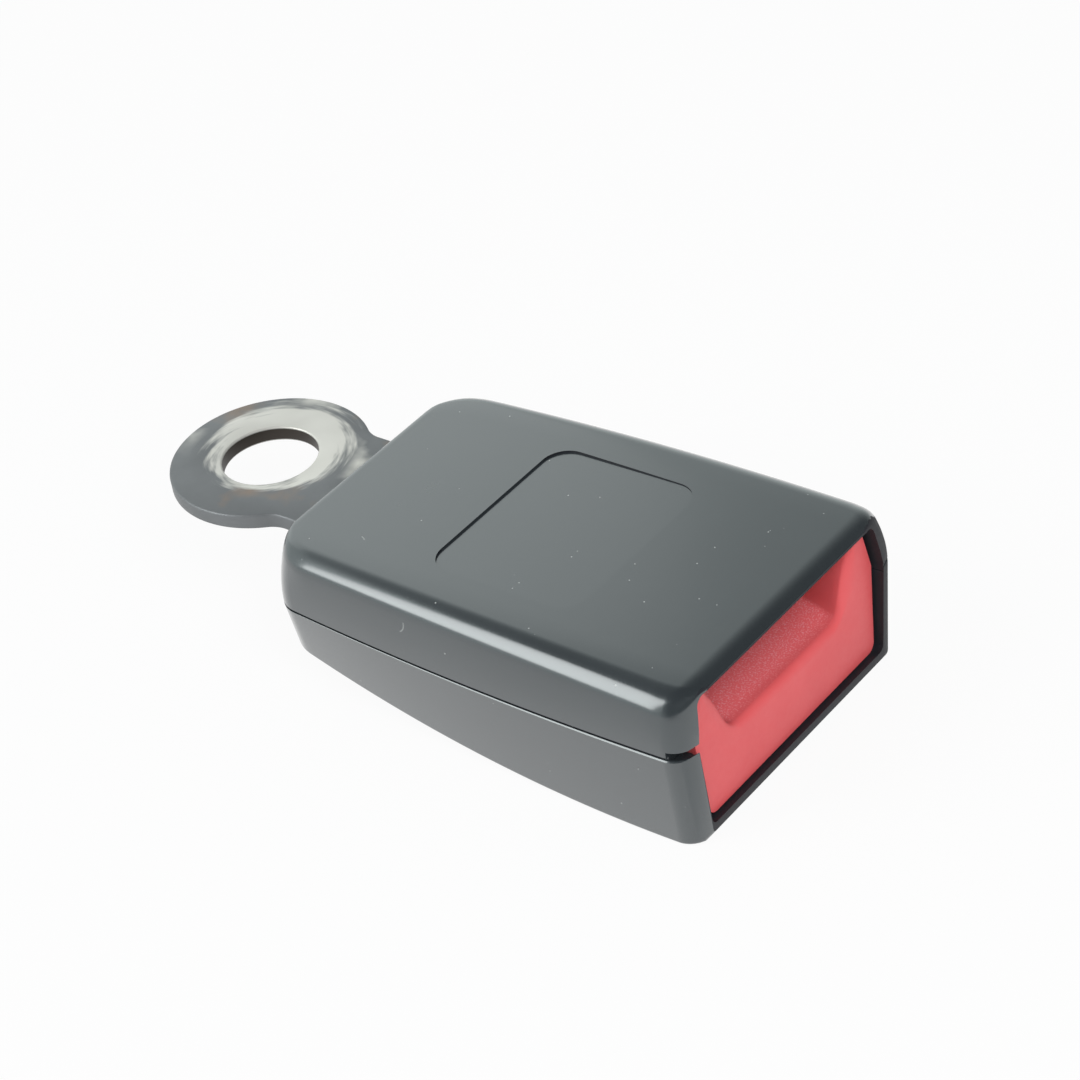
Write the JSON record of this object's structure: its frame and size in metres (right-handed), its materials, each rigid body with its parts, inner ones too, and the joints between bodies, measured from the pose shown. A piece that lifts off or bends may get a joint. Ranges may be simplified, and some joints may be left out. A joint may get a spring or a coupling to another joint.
{
  "type": "seat belt buckle",
  "caption": "Press-button seat belt buckle on a short steel anchor plate with a bolt eye: two-part moulded housing, sprung button, pivoting latch and sprung ejector.",
  "frame": {"origin": "centre of the anchor bolt hole, half way through the plate", "axes": "+X from the bolt hole to the mouth where the tongue enters, +Z out of the flat top cover, +Y to the far side"},
  "size_m": [0.089, 0.0426, 0.0209],
  "materials": {
    "cover_plastic": "fine satin moulding texture, lightly scratched",
    "button_plastic": "smooth satin red, fine grain on the scoop floor",
    "plate_steel": "dark coating, worn bare round the hole, rust at the edges",
    "frame_steel": "zinc plated, passivated",
    "rivet_steel": "zinc plated, headed",
    "pin_steel": "turned and plated",
    "latch_steel": "hardened, dark",
    "spring_steel": "drawn wire and strip",
    "slider_plastic": "natural acetal",
    "felt": "pressed felt"
  },
  "bodies": {
    "housing": {"upper_cover": "cover_plastic", "lower_cover": "cover_plastic", "anchor_plate": "plate_steel", "frame": "frame_steel", "anchor_rivet_near": "rivet_steel", "anchor_rivet_far": "rivet_steel", "latch_pin": "pin_steel", "latch_pin_clip_near": "spring_steel", "latch_pin_clip_far": "spring_steel", "ejector_spring_seat": "slider_plastic", "spring_guide_near": "pin_steel", "spring_guide_far": "pin_steel", "tongue_guide": "cover_plastic", "anti_rattle_pad": "felt", "button_spring_near": "spring_steel", "button_spring_far": "spring_steel", "ejector_spring": "spring_steel", "latch_spring": "spring_steel"},
    "button": {"button": "button_plastic"},
    "latch": {"latch": "latch_steel"},
    "ejector": {"ejector": "slider_plastic"}
  },
  "joints": [
    {"name": "button_slide", "type": "slide", "parent": "housing", "child": "button", "axis": [-1, 0, 0], "range_m": [0, 0.006], "stiffness_N_per_m": 1500, "springref_m": -0.004, "deforming": ["button_spring_near", "button_spring_far"]},
    {"name": "latch_pivot", "type": "hinge", "parent": "housing", "child": "latch", "pos_m": [0.028, 0, -0.0075], "axis": [0, 1, 0], "range_deg": [0, 12], "stiffness_Nm_per_rad": 0.08, "springref_deg": -14.32, "deforming": ["latch_spring"]},
    {"name": "ejector_slide", "type": "slide", "parent": "housing", "child": "ejector", "axis": [-1, 0, 0], "range_m": [0, 0.008], "stiffness_N_per_m": 400, "springref_m": -0.006, "deforming": ["ejector_spring"]}
  ],
  "couplings": [
    {"joint": "latch_pivot", "follows": "button_slide", "rad_per_m": 34.9}
  ]
}
